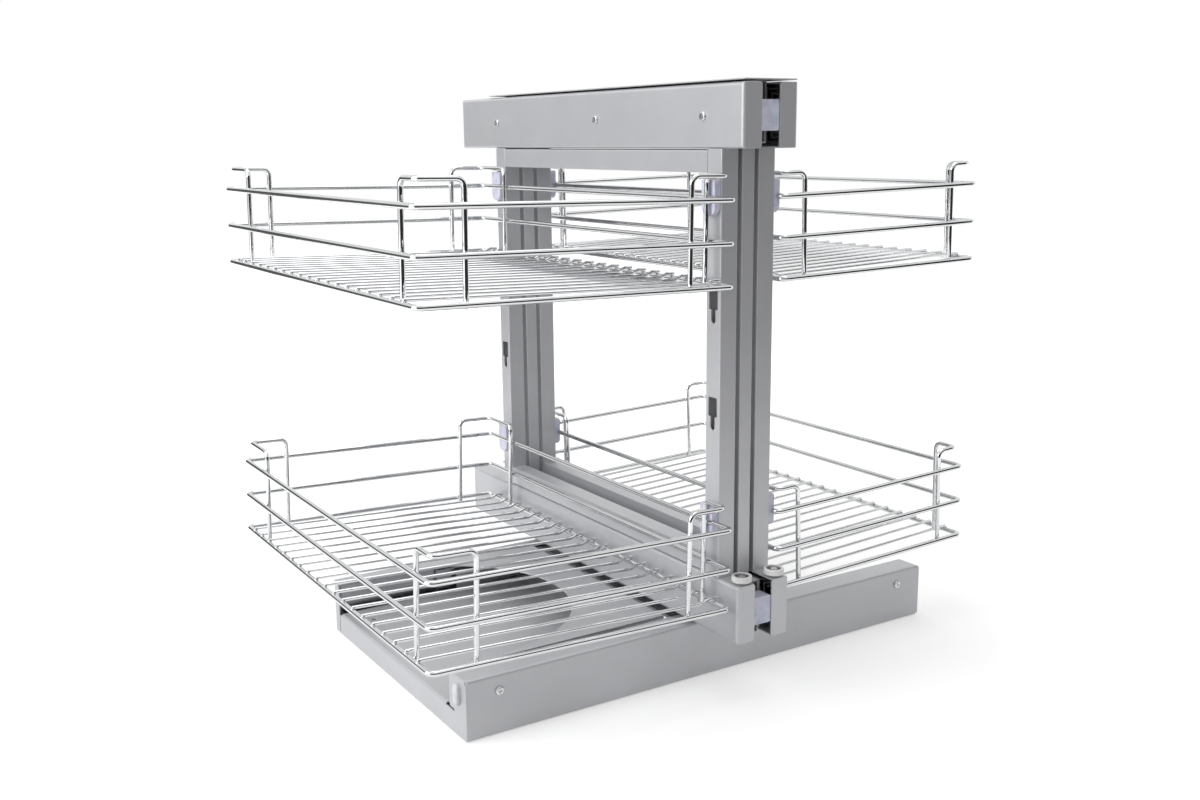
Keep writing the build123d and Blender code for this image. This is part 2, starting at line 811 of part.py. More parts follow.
def write_base():
    write("base_front_beam", make_base_front_beam())
    write("base_tray", make_base_tray())
    write("base_low_plate", make_base_low_plate())
    write("base_top_plate", make_base_top_plate())
    write("base_screws", make_base_screws())
    write("end_buffer", make_end_buffer())
    write("front_rail_outer", make_front_rail_outer())
    write("front_rail_runner", make_front_rail_runner())
    outer = slide_outer_member(rear_slide_length, rear_slide_flange)
    middle = slide_middle_member(rear_slide_middle_length, rear_slide_step, rear_slide_flange_middle)
    inner = slide_inner_member(rear_slide_inner_length, rear_slide_depth, rear_slide_flange_inner)
    middle_right = rear_slide_right + rear_slide_middle_ahead
    write("rear_slide_outer", place_on_rear_wall(outer, rear_slide_right, rear_slide_length))
    write("rear_slide_middle", place_on_rear_wall(middle, middle_right, rear_slide_middle_length))
    write("rear_slide_inner", place_on_rear_wall(inner, rear_slide_right, rear_slide_inner_length))


def write_centre_frame():
    write("carriage_plate", make_carriage_plate())
    write("carriage_riser", make_carriage_riser())
    write("centre_bottom_rail", make_centre_rail((low_rail_bottom, low_rail_top)))
    write("centre_top_rail", make_centre_rail((high_rail_bottom, top_plate_bottom)))
    write("centre_front_post", make_centre_post(front_post_face))
    write("centre_rear_post", make_centre_post(rear_post_face))
    write("centre_end_blocks", make_centre_end_blocks())
    write("top_plate", make_top_plate())
    write("centre_slide_outers", make_centre_slide_outers())


def write_side_frame(name, side):
    write(f"{name}_bottom_cover", make_low_cover(side))
    write(f"{name}_top_cover", make_cover(side, high_cover_bottom))
    low_bar_bottom = low_cover_top + bar_gap
    high_bar_top = high_cover_bottom - bar_gap
    write(f"{name}_bottom_bar", make_side_bar(side, (low_bar_bottom, low_bar_bottom + bar_height)))
    write(f"{name}_top_bar", make_side_bar(side, (high_bar_top - bar_height, high_bar_top)))
    write(f"{name}_front_post", make_side_post(side, front_post_face))
    write(f"{name}_rear_post", make_side_post(side, rear_post_face))
    write(f"{name}_cover_screws", make_cover_screws(side))
    write(f"{name}_guide_roller", make_guide_roller(side))
    write(f"{name}_roller_pin", make_roller_pin(side))
    write(f"{name}_slide_middles", make_side_slide_middles(side))
    write(f"{name}_slide_inners", make_side_slide_inners(side))


def write_baskets(name, side):
    for level_name, (keyhole, rise_angle) in LEVELS.items():
        layout = basket_layout(side, keyhole, rise_angle)
        prefix = f"{name}_{level_name}_basket"
        write(f"{prefix}_rails", make_basket_rails(side, layout))
        write(f"{prefix}_hoops", make_basket_hoops(side, layout))
        write(f"{prefix}_floor", make_basket_floor(side, layout))
        write(f"{prefix}_clips", make_basket_clips(side, layout))


os.makedirs("parts", exist_ok=True)
write_base()
write_centre_frame()
for side_name, side_sign in SIDES.items():
    write_side_frame(side_name, side_sign)
    write_baskets(side_name, side_sign)
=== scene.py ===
import json
import math

import bpy
import numpy as np
from mathutils import Matrix, Vector


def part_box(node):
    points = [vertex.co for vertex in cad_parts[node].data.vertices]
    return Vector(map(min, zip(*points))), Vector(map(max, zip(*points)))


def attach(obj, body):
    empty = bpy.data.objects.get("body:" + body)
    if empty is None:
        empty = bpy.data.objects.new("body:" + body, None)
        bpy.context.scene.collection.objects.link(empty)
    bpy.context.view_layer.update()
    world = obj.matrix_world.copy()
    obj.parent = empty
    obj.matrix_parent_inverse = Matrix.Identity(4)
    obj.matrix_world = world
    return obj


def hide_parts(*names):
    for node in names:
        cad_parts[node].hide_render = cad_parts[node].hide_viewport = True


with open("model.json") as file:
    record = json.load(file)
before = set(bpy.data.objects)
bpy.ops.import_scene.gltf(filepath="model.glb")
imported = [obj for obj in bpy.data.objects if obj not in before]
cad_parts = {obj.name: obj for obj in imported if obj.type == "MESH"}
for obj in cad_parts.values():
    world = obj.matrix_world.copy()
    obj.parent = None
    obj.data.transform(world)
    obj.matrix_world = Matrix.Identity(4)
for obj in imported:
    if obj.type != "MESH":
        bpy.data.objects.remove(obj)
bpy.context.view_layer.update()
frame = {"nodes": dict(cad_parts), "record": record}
nodes = frame["nodes"]

# Blind corner pull-out organizer, in metres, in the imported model's frame.
MM = 0.001

# Sizes of the wire baskets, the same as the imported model's
CENTRE_X = -5.5 * MM
COVER_REACH = 28.5 * MM
STAND_OFF = 5.3 * MM
FRAME_FRONT = -221.0 * MM
FRAME_REAR = 285.0 * MM
REAR_SETBACK = 58.0 * MM
RAIL_RADIUS = 2.5 * MM
HOOP_RADIUS = 2.25 * MM
FLOOR_RADIUS = 1.5 * MM
WELD_DEPTH = 0.4 * MM
RAIL_SPACING = 35.4 * MM
RAIL_CORNER = 6.0 * MM
HOOP_HEIGHT = 90.0 * MM
HOOP_FOOT = 3.5 * MM
HOOP_BEND = 7.0 * MM
KEYHOLE_LOWEST = 150.4 * MM
KEYHOLE_PITCH = 93.3 * MM
RAIL_ABOVE_KEYHOLE = 12.5 * MM
FLOOR_DIP = 3.0 * MM
FLOOR_STEP = 5.0 * MM
FLOOR_STEP_RUN = 7.0 * MM
FLOOR_BEND = 5.0 * MM
FLOOR_OUTER_OVERHANG = 1.0 * MM
FLOOR_INNER_OVERHANG = 4.0 * MM
RAIL_COUNT = 3
FRONT_LEG_PITCHES = 1.5
REAR_LEG_PITCHES = 2.5

# Sizes that the scene alone has: wire ends, weld beads and the rings in the guide rollers
WIRE_END_SHARE = 0.6
# How far a wire's end and a bead run towards their poles. The rest stays open as a small hole.
POLE_SHARE = 0.999
FLOOR_BEAD_RADII = (2.1 * MM, 2.1 * MM, 1.2 * MM)
HOOP_BEAD_RADII = (1.5 * MM, 1.5 * MM, 2.8 * MM)
BEAD_SIDES = 8
BEAD_RINGS = 5
ROLLER_RECESS = 2.0 * MM
SHIELD_RADII = np.array([6.6, 6.6, 6.3, 5.6, 5.4, 4.6, 4.4, 3.6, 3.4, 3.4]) * MM
SHIELD_HEIGHTS = np.array([0.02, 0.5, 0.7, 0.7, 0.5, 0.5, 0.7, 0.7, 0.5, 0.02]) * MM
SHIELD_SIDES = 48

SIDES = {
    "left": {"sign": -1, "width": 282.5 * MM, "inset": 2.5 * MM, "wires": 19, "leg": 41.0 * MM},
    "right": {"sign": 1, "width": 237.0 * MM, "inset": 23.0 * MM, "wires": 20, "leg": 28.0 * MM},
}
LEVELS = {"lower": (0, math.radians(1.8)), "upper": (3, math.radians(1.0))}


# Mesh making
def put_mesh(name, points, quads):
    """A smooth-shaded mesh object from an array of points and an array of quads."""
    mesh = bpy.data.meshes.new(name)
    points = np.asarray(points, np.float32).reshape(-1, 3)
    quads = np.asarray(quads, np.int32).reshape(-1, 4)
    mesh.vertices.add(len(points))
    mesh.vertices.foreach_set("co", points.ravel())
    mesh.loops.add(quads.size)
    mesh.loops.foreach_set("vertex_index", quads.ravel())
    mesh.polygons.add(len(quads))
    mesh.polygons.foreach_set("loop_start", np.arange(0, quads.size, 4, dtype=np.int32))
    mesh.polygons.foreach_set("use_smooth", np.ones(len(quads), bool))
    mesh.update(calc_edges=True)
    mesh.validate()
    piece = bpy.data.objects.new(name, mesh)
    bpy.context.scene.collection.objects.link(piece)
    return piece


def bent_line(corners, bend, arc_steps=6, run_steps=1):
    """A centre line through corner points: straight runs joined by circular arcs that touch both runs.

    At a corner with unit directions a (in) and b (out), the arc of radius r starts r*tan(turn/2)
    before the corner, and its points are centre + r*(cos(t)*p + sin(t)*a), with p pointing from
    the centre to the arc's start.
    """
    corners = np.asarray(corners, float)
    stretches = [corners[:1]]
    for before, corner, after in zip(corners[:-2], corners[1:-1], corners[2:]):
        a = (corner - before) / np.linalg.norm(corner - before)
        b = (after - corner) / np.linalg.norm(after - corner)
        turn = math.acos(float(np.clip(a @ b, -1, 1)))
        side = b - (a @ b) * a
        side /= np.linalg.norm(side)
        start = corner - a * bend * math.tan(turn / 2)
        t = np.linspace(0, turn, arc_steps + 1)[:, None]
        stretches.append(start + bend * ((1 - np.cos(t)) * side + np.sin(t) * a))
    stretches.append(corners[-1:])
    return np.concatenate(stretches)


def tube_points(line, radii, sides, lean, closed=False):
    """Rings of points round a line: point = line + radius*(cos(v)*across + sin(v)*up).

    The tangent T is the difference of neighbouring stations. Across is the lean vector with its
    part along T taken out, and up is T x across. Station 1 sets how far along, v how far round.
    """
    if closed:
        tangent = np.roll(line, -1, 0) - np.roll(line, 1, 0)
    else:
        tangent = np.gradient(line, axis=0)
    tangent /= np.linalg.norm(tangent, axis=1)[:, None]
    across = lean - (tangent @ lean)[:, None] * tangent
    across /= np.linalg.norm(across, axis=1)[:, None]
    up = np.cross(tangent, across)
    v = np.arange(sides) * 2 * math.pi / sides
    ring = np.cos(v)[None, :, None] * across[:, None] + np.sin(v)[None, :, None] * up[:, None]
    return line[:, None] + np.asarray(radii).reshape(-1, 1, 1) * ring


def tube_quads(stations, sides, closed=False):
    """Quads between neighbouring rings: the ring index runs along, the side index wraps round."""
    i = np.arange(stations if closed else stations - 1)[:, None]
    j = np.arange(sides)[None, :]
    i2, j2 = (i + 1) % stations, (j + 1) % sides
    return np.stack([i * sides + j, i * sides + j2, i2 * sides + j2, i2 * sides + j], -1).reshape(-1, 4)


def round_ended(line, radius, steps=3):
    """Adds stations at both ends of a line, with radii that round it off in quarter ellipses.

    A station at the share s of the cap's length has radius*sqrt(1 - s*s), with s from 0 to the pole
    share. The last has about 4.5 percent of the wire's radius, so the end keeps a hole of that size.
    """
    s = np.append(np.linspace(0, 1, steps + 1)[1:-1], POLE_SHARE)
    cap = WIRE_END_SHARE * radius
    start = line[1] - line[0]
    end = line[-1] - line[-2]
    start = start / np.linalg.norm(start)
    end = end / np.linalg.norm(end)
    first = line[0] + start * cap - start * (cap * s[::-1, None])
    last = line[-1] - end * cap + end * (cap * s[:, None])
    body = line.copy()
    body[0] += start * cap
    body[-1] -= end * cap
    radii = radius * np.sqrt(1 - s * s)
    return (
        np.concatenate([first, body, last]),
        np.concatenate([radii[::-1], np.full(len(body), radius), radii]),
    )


class Wires:
    """Gathers tubes and beads into one mesh."""

    def __init__(self):
        self.points, self.quads, self.count = [], [], 0

    def add(self, points, quads):
        self.points.append(points.reshape(-1, 3))
        self.quads.append(quads + self.count)
        self.count += points.reshape(-1, 3).shape[0]

    def add_open(self, line, radius, sides, lean):
        line, radii = round_ended(line, radius)
        self.add(tube_points(line, radii, sides, np.array(lean, float)), tube_quads(len(line), sides))

    def add_loop(self, line, radius, sides, lean):
        grid = tube_points(line, np.full(len(line), radius), sides, np.array(lean, float), closed=True)
        self.add(grid, tube_quads(len(line), sides, closed=True))


# Baskets. A basket is drawn in its own plain coordinates: reach outwards from its inner rail,
# place along Y, and height above its top rail. Then it is turned up about the inner top rail.
def basket_size(side, keyhole):
    """The sizes of one basket: its side's own, and those that follow from its keyhole."""
    facts = dict(SIDES[side])
    facts["front"] = FRAME_FRONT + facts["inset"]
    facts["rear"] = FRAME_REAR - REAR_SETBACK
    facts["pitch"] = (facts["rear"] - facts["front"]) / (facts["wires"] + 1)
    facts["bottom"] = -2 * RAIL_SPACING
    facts["top"] = KEYHOLE_LOWEST + keyhole * KEYHOLE_PITCH + RAIL_ABOVE_KEYHOLE
    return facts


def stand_basket(wires, facts, rise):
    """Turns (reach, y, height) to the model's X, Y, Z.

    reach' = reach*cos(rise) - height*sin(rise), height' = reach*sin(rise) + height*cos(rise), and
    X = centre + sign*(cover + stand off + reach'). A left basket is mirrored, so its quads are
    turned round to keep their faces outwards.
    """
    points = np.concatenate(wires.points)
    quads = np.concatenate(wires.quads)
    reach = points[:, 0] * math.cos(rise) - points[:, 2] * math.sin(rise)
    height = points[:, 0] * math.sin(rise) + points[:, 2] * math.cos(rise)
    x = CENTRE_X + facts["sign"] * (COVER_REACH + STAND_OFF + reach)
    placed = np.stack([x, points[:, 1], facts["top"] + height], 1)
    return placed, quads if facts["sign"] > 0 else quads[:, ::-1]


def rail_line(facts, height):
    """A rectangle with round corners: four arcs, and the straight runs between them."""
    r = RAIL_CORNER
    t = np.linspace(0, math.pi / 2, 9)
    corners = []
    spots = (
        (facts["width"] - r, facts["rear"] - r, 0),
        (r, facts["rear"] - r, 1),
        (r, facts["front"] + r, 2),
        (facts["width"] - r, facts["front"] + r, 3),
    )
    for reach, y, quarter in spots:
        turn = t + quarter * math.pi / 2
        height_column = np.full(len(t), height)
        corners.append(np.stack([reach + r * np.cos(turn), y + r * np.sin(turn), height_column], 1))
    return np.concatenate(corners)


def hoop_places(facts, at_outer, at_front, inset):
    """A corner hoop's place along both rails: its reach and y, and its two legs' reach and y."""
    reach = facts["width"] - inset if at_outer else inset
    leg_reach = facts["width"] - facts["leg"] if at_outer else facts["leg"]
    y = facts["front"] + inset if at_front else facts["rear"] - inset
    if at_front:
        leg_y = facts["front"] + FRONT_LEG_PITCHES * facts["pitch"]
    else:
        leg_y = facts["rear"] - REAR_LEG_PITCHES * facts["pitch"]
    return reach, y, leg_reach, leg_y


def hoop_line(facts, at_outer, at_front):
    """Up one leg, round the basket's corner above the rails, and down the other leg."""
    inset = RAIL_RADIUS + HOOP_RADIUS - WELD_DEPTH
    reach, y, leg_reach, leg_y = hoop_places(facts, at_outer, at_front, inset)
    low = facts["bottom"] - HOOP_FOOT
    high = facts["bottom"] + HOOP_HEIGHT
    corners = [
        (reach, leg_y, low),
        (reach, leg_y, high),
        (reach, y, high),
        (leg_reach, y, high),
        (leg_reach, y, low),
    ]
    return bent_line(corners, HOOP_BEND, 8)


def floor_line(facts, y):
    """A floor wire from the outer rail, dipping to the step beside the inner rail and over that rail."""
    high = facts["bottom"] + RAIL_RADIUS + FLOOR_RADIUS - WELD_DEPTH
    corners = [
        (facts["width"] + FLOOR_OUTER_OVERHANG, y, high),
        (FLOOR_STEP + FLOOR_STEP_RUN, y, high - FLOOR_DIP),
        (FLOOR_STEP, y, high),
        (-FLOOR_INNER_OVERHANG, y, high),
    ]
    return bent_line(corners, FLOOR_BEND, 4)


def weld_beads(wires, spots, radii):
    """Squashed weld beads: point = spot + radii*(cos(u)*cos(v), sin(u)*cos(v), sin(v)).

    u goes round in equal steps. v runs from just over -90 to just under 90 degrees, so each pole
    keeps a hole a few micrometres wide.
    """
    u = np.arange(BEAD_SIDES)[:, None] * (2 * math.pi / BEAD_SIDES)
    v = np.linspace(-POLE_SHARE, POLE_SHARE, BEAD_RINGS)[None, :] * math.pi / 2
    ball = np.stack(np.broadcast_arrays(np.cos(u) * np.cos(v), np.sin(u) * np.cos(v), np.sin(v)), -1)
    i, j = np.arange(BEAD_SIDES)[:, None], np.arange(BEAD_RINGS - 1)[None, :]
    here, there = i * BEAD_RINGS + j, (i + 1) % BEAD_SIDES * BEAD_RINGS + j
    quads = np.stack([here, there, there + 1, here + 1], -1).reshape(-1, 4)
    for spot in spots:
        wires.add(np.asarray(spot) + np.asarray(radii) * ball, quads)


def floor_weld_spots(facts):
    """Where each floor wire crosses the bottom rail's outer and inner runs."""
    ys = facts["front"] + (np.arange(facts["wires"]) + 1) * facts["pitch"]
    height = facts["bottom"] + RAIL_RADIUS - 0.5 * WELD_DEPTH
    return [(reach, y, height) for reach in (facts["width"], 0.0) for y in ys]


def hoop_weld_spots(facts):
    """Where each hoop's two legs touch each rail."""
    spots = []
    for at_outer in (False, True):
        for at_front in (False, True):
            reach, y, leg_reach, leg_y = hoop_places(facts, at_outer, at_front, RAIL_RADIUS)
            for index in range(RAIL_COUNT):
                height = facts["bottom"] + index * RAIL_SPACING
                spots += [(reach, leg_y, height), (leg_reach, y, height)]
    return spots


def make_basket(side, level):
    """One basket's rails, hoops and floor wires, with weld beads, as three pieces."""
    keyhole, rise = LEVELS[level]
    facts = basket_size(side, keyhole)
    body = f"{side}_{level}_basket"
    rails, hoops, floor = Wires(), Wires(), Wires()
    for index in range(RAIL_COUNT):
        rail_line_points = rail_line(facts, facts["bottom"] + index * RAIL_SPACING)
        rails.add_loop(rail_line_points, RAIL_RADIUS, 20, (0, 0, 1))
    for at_outer in (False, True):
        for at_front in (False, True):
            hoops.add_open(hoop_line(facts, at_outer, at_front), HOOP_RADIUS, 18, (1, 1, 1))
    for index in range(facts["wires"]):
        y = facts["front"] + (index + 1) * facts["pitch"]
        floor.add_open(floor_line(facts, y), FLOOR_RADIUS, 12, (0, 1, 0))
    weld_beads(floor, floor_weld_spots(facts), FLOOR_BEAD_RADII)
    weld_beads(hoops, hoop_weld_spots(facts), HOOP_BEAD_RADII)
    made = []
    for name, wires in (("rail_wires", rails), ("hoop_wires", hoops), ("floor_wires", floor)):
        piece = put_mesh(f"{body}_{name}", *stand_basket(wires, facts, rise))
        piece.data.materials.append(CHROME)
        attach(piece, body)
        made.append(piece)
    return made


# Finishes. A group puts out only colours, masks, values and normals.
def new_group(name, inputs, outputs):
    """An empty shader node group with named inputs (name, kind, value) and outputs (name, kind)."""
    group = bpy.data.node_groups.new(name, "ShaderNodeTree")
    for label, kind, value in inputs:
        socket = group.interface.new_socket(label, in_out="INPUT", socket_type="NodeSocket" + kind)
        socket.default_value = value
    for label, kind in outputs:
        group.interface.new_socket(label, in_out="OUTPUT", socket_type="NodeSocket" + kind)
    return group, group.nodes.new("NodeGroupInput"), group.nodes.new("NodeGroupOutput")


def add_node(tree, kind, inputs=None, **settings):
    """One shader node; inputs maps a socket's name or number to a value or to another node's output."""
    node = tree.nodes.new("ShaderNode" + kind)
    for key, value in settings.items():
        setattr(node, key, value)
    for socket, value in (inputs or {}).items():
        if isinstance(value, bpy.types.NodeSocket):
            tree.links.new(value, node.inputs[socket])
        else:
            node.inputs[socket].default_value = value
    return node


def sum_of(tree, a, b):
    return add_node(tree, "Math", {0: a, 1: b}, operation="ADD").outputs[0]


def product_of(tree, a, b):
    return add_node(tree, "Math", {0: a, 1: b}, operation="MULTIPLY").outputs[0]


def spread(tree, value, low_in, high_in, low_out, high_out):
    """A value taken from one range to another, and held at its ends."""
    return add_node(tree, "MapRange", {0: value, 1: low_in, 2: high_in, 3: low_out, 4: high_out}).outputs[0]


def make_grain_group():
    """Fine even grain and broad clouds at stated sizes, as in sprayed paint or moulded plastic."""
    group, given, result = new_group(
        "fine_grain", [("Grain Size", "Float", 0.0006), ("Coarse Size", "Float", 0.02)],
        [("Grain", "Float"), ("Cloud", "Float")],
    )
    place = add_node(group, "TexCoord").outputs["Object"]
    for label, size, detail in (("Grain", "Grain Size", 2.0), ("Cloud", "Coarse Size", 3.0)):
        scale = add_node(group, "Math", {0: 1.0, 1: given.outputs[size]}, operation="DIVIDE").outputs[0]
        settings = {"Vector": place, "Scale": scale, "Detail": detail, "Roughness": 0.55}
        noise = add_node(group, "TexNoise", settings)
        group.links.new(noise.outputs["Fac"], result.inputs[label])
    return group


def make_streak_group():
    """Rolling or drawing lines: a noise stretched along one axis, set by how much each axis is squeezed."""
    group, given, result = new_group(
        "drawn_lines", [("Squeeze", "Vector", (1.0, 0.02, 1.0)), ("Line Size", "Float", 0.0008)],
        [("Lines", "Float")],
    )
    place = add_node(group, "TexCoord").outputs["Object"]
    squeezed = add_node(group, "VectorMath", {0: place, 1: given.outputs["Squeeze"]}, operation="MULTIPLY")
    scale = add_node(group, "Math", {0: 1.0, 1: given.outputs["Line Size"]}, operation="DIVIDE").outputs[0]
    noise = add_node(
        group, "TexNoise", {"Vector": squeezed.outputs[0], "Scale": scale, "Detail": 4.0, "Roughness": 0.6},
    )
    group.links.new(noise.outputs["Fac"], result.inputs["Lines"])
    return group


def make_edge_group():
    """Edges of sheet metal and mouldings: how far the rounded normal leans from the face's own. The
    finishes use this edge mask to paint a highlight along edges.
    """
    group, given, result = new_group(
        "edge_highlight_and_rounding", [("Edge Width", "Float", 0.0012)], [("Edges", "Float"), ("Rounded Normal", "Vector")],
    )
    rounded = add_node(group, "Bevel", {"Radius": given.outputs["Edge Width"]}, samples=4).outputs[0]
    own = add_node(group, "NewGeometry").outputs["Normal"]
    lean = add_node(group, "VectorMath", {0: rounded, 1: own}, operation="DOT_PRODUCT").outputs["Value"]
    group.links.new(spread(group, lean, 1.0, 0.8, 0.0, 1.0), result.inputs["Edges"])
    group.links.new(rounded, result.inputs["Rounded Normal"])
    return group


def make_dust_group():
    """Light dust and smudges that lie on faces turned up, in soft patches."""
    group, given, result = new_group(
        "settled_dust", [("Patch Size", "Float", 0.05), ("Amount", "Float", 0.3)], [("Dust", "Float")],
    )
    normal = add_node(group, "NewGeometry").outputs["Normal"]
    upward = add_node(group, "SeparateXYZ", {0: normal}).outputs["Z"]
    place = add_node(group, "TexCoord").outputs["Object"]
    scale = add_node(group, "Math", {0: 1.0, 1: given.outputs["Patch Size"]}, operation="DIVIDE").outputs[0]
    noise = add_node(group, "TexNoise", {"Vector": place, "Scale": scale, "Detail": 5.0, "Roughness": 0.6})
    patches = spread(group, noise.outputs["Fac"], 0.4, 0.75, 0.0, 1.0)
    facing = spread(group, upward, 0.2, 1.0, 0.25, 1.0)
    dusty = product_of(group, product_of(group, patches, facing), given.outputs["Amount"])
    group.links.new(dusty, result.inputs["Dust"])
    return group


GRAIN = make_grain_group()
STREAKS = make_streak_group()
EDGES = make_edge_group()
DUST = make_dust_group()


def place_group(tree, group, **values):
    node = tree.nodes.new("ShaderNodeGroup")
    node.node_tree = group
    for label, value in values.items():
        node.inputs[label.replace("_", " ")].default_value = value
    return node


def new_finish(name, **settings):
    """A Principled material; settings are the shader's constant sockets."""
    material = bpy.data.materials.new(name)
    material.use_nodes = True
    shader = material.node_tree.nodes["Principled BSDF"]
    for label, value in settings.items():
        shader.inputs[label.replace("_", " ")].default_value = value
    return material, material.node_tree, shader


def mix_colors(tree, share, first, second):
    node = add_node(tree, "Mix", data_type="RGBA")
    tree.links.new(share, node.inputs[0])
    for socket, value in ((6, first), (7, second)):
        if isinstance(value, bpy.types.NodeSocket):
            tree.links.new(value, node.inputs[socket])
        else:
            node.inputs[socket].default_value = (*value, 1)
    return node.outputs[2]


def bump(tree, height, distance, strength=1.0, normal=None):
    node = add_node(tree, "Bump", {"Height": height, "Strength": strength, "Distance": distance})
    if normal is not None:
        tree.links.new(normal, node.inputs["Normal"])
    return node.outputs["Normal"]


def make_sprayed_paint(name, color, pale, roughness):
    """Satin metallic spray paint: fine flake grain, faint clouding, a painted highlight that lightens the
    edges, a little dust.
    """
    material, tree, shader = new_finish(name, Metallic=0.45)
    grain = place_group(tree, GRAIN, Grain_Size=0.0005, Coarse_Size=0.045)
    edges = place_group(tree, EDGES, Edge_Width=0.0011)
    dust = place_group(tree, DUST, Patch_Size=0.06, Amount=0.22)
    clouded = mix_colors(tree, spread(tree, grain.outputs["Cloud"], 0.3, 0.7, 0.0, 0.5), color, pale)
    flake = spread(tree, grain.outputs["Grain"], 0.35, 0.75, 0.0, 0.3)
    flaked = mix_colors(tree, flake, clouded, tuple(min(1.0, 1.25 * c) for c in pale))
    # Painted highlight: the edges are lightened towards pale grey (0.78).
    highlit_edges = mix_colors(tree, product_of(tree, edges.outputs["Edges"], 0.35), flaked, (0.78, 0.78, 0.78))
    dusted = mix_colors(tree, dust.outputs["Dust"], highlit_edges, (0.66, 0.65, 0.63))
    tree.links.new(dusted, shader.inputs["Base Color"])
    rough = sum_of(tree, spread(tree, grain.outputs["Grain"], 0.3, 0.7, roughness - 0.05, roughness + 0.05),
                   product_of(tree, dust.outputs["Dust"], 0.25))
    tree.links.new(rough, shader.inputs["Roughness"])
    normal = bump(tree, grain.outputs["Grain"], 0.00003, 0.6, edges.outputs["Rounded Normal"])
    tree.links.new(normal, shader.inputs["Normal"])
    return material


def make_chrome():
    """Bright chrome on drawn wire: mirror-like, with a trace of haze and a fine even grain."""
    material, tree, shader = new_finish("bright_chrome_wire", Metallic=1.0)
    grain = place_group(tree, GRAIN, Grain_Size=0.0012, Coarse_Size=0.03)
    color = mix_colors(tree, grain.outputs["Cloud"], (0.6, 0.61, 0.62), (0.7, 0.705, 0.71))
    tree.links.new(color, shader.inputs["Base Color"])
    haze = spread(tree, grain.outputs["Cloud"], 0.35, 0.75, 0.035, 0.11)
    tree.links.new(haze, shader.inputs["Roughness"])
    tree.links.new(bump(tree, grain.outputs["Grain"], 0.00001, 0.3), shader.inputs["Normal"])
    return material


def make_zinc(name, squeeze, color, roughness):
    """Zinc-plated rolled steel: lines along the rolling, faint clouding and a painted highlight that
    brightens the edges.
    """
    material, tree, shader = new_finish(name, Metallic=1.0)
    streaks = place_group(tree, STREAKS, Squeeze=squeeze, Line_Size=0.0007)
    grain = place_group(tree, GRAIN, Grain_Size=0.0015, Coarse_Size=0.02)
    edges = place_group(tree, EDGES, Edge_Width=0.0007)
    dark = tuple(0.82 * c for c in color)
    lined = mix_colors(tree, streaks.outputs["Lines"], dark, color)
    cloud = spread(tree, grain.outputs["Cloud"], 0.4, 0.7, 0.0, 0.4)
    blued = mix_colors(tree, cloud, lined, (0.66, 0.7, 0.72))
    # Painted highlight: the edges are lightened towards pale grey (0.8).
    highlit_edges = mix_colors(tree, product_of(tree, edges.outputs["Edges"], 0.5), blued, (0.8, 0.8, 0.8))
    tree.links.new(highlit_edges, shader.inputs["Base Color"])
    rough = spread(tree, streaks.outputs["Lines"], 0.3, 0.7, roughness - 0.08, roughness + 0.08)
    tree.links.new(rough, shader.inputs["Roughness"])
    normal = bump(tree, streaks.outputs["Lines"], 0.00002, 0.5, edges.outputs["Rounded Normal"])
    tree.links.new(normal, shader.inputs["Normal"])
    return material


def make_plastic(name, color, shade, roughness, milk=0.0):
    """Moulded plastic: a fine eroded grain, a faint flow cloud and a painted highlight that lightens the
    edges slightly.
    """
    material, tree, shader = new_finish(name, Subsurface_Weight=milk, Subsurface_Scale=0.004)
    grain = place_group(tree, GRAIN, Grain_Size=0.0004, Coarse_Size=0.008)
    edges = place_group(tree, EDGES, Edge_Width=0.0006)
    clouded = mix_colors(tree, spread(tree, grain.outputs["Cloud"], 0.35, 0.7, 0.0, 1.0), color, shade)
    # Painted highlight: the edges are lightened towards near white.
    highlit_plastic_edges = mix_colors(tree, product_of(tree, edges.outputs["Edges"], 0.3), clouded, (0.93, 0.93, 0.96))
    tree.links.new(highlit_plastic_edges, shader.inputs["Base Color"])
    rough = spread(tree, grain.outputs["Grain"], 0.3, 0.7, roughness - 0.06, roughness + 0.06)
    tree.links.new(rough, shader.inputs["Roughness"])
    normal = bump(tree, grain.outputs["Grain"], 0.00003, 0.5, edges.outputs["Rounded Normal"])
    tree.links.new(normal, shader.inputs["Normal"])
    return material


CHROME = make_chrome()
PAINT = make_sprayed_paint("silver_grey_paint", (0.5, 0.505, 0.525), (0.57, 0.575, 0.595), 0.42)
ZINC = make_zinc("zinc_slide_steel", (1.0, 0.02, 1.0), (0.6, 0.61, 0.63), 0.3)
CLIP = make_plastic("lavender_clip_plastic", (0.7, 0.71, 0.83), (0.52, 0.53, 0.66), 0.4, 0.4)
ROLLER = make_plastic("white_roller_plastic", (0.84, 0.84, 0.83), (0.78, 0.78, 0.77), 0.34)
SCREW = make_zinc("zinc_screw_steel", (1.0, 1.0, 0.2), (0.7, 0.71, 0.72), 0.26)
BUFFER = make_plastic("milky_buffer_plastic", (0.74, 0.75, 0.77), (0.6, 0.61, 0.64), 0.35, 0.3)
SHIELD = make_plastic("black_shield_plastic", (0.045, 0.045, 0.05), (0.07, 0.07, 0.075), 0.5)
FINISHES = {
    "frame_paint": PAINT, "wire": CHROME, "slide_steel": ZINC, "clip_plastic": CLIP,
    "roller_plastic": ROLLER, "fastener": SCREW, "buffer_plastic": BUFFER,
}


def dress_nodes():
    """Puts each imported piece's finish into the slots that it has."""
    slots = {entry["node"]: entry["material_slot"] for entry in frame["record"]["subparts"]}
    for name, node in nodes.items():
        finish = FINISHES[slots[name]]
        if not node.material_slots:
            node.data.materials.append(finish)
        for slot in node.material_slots:
            slot.material = finish


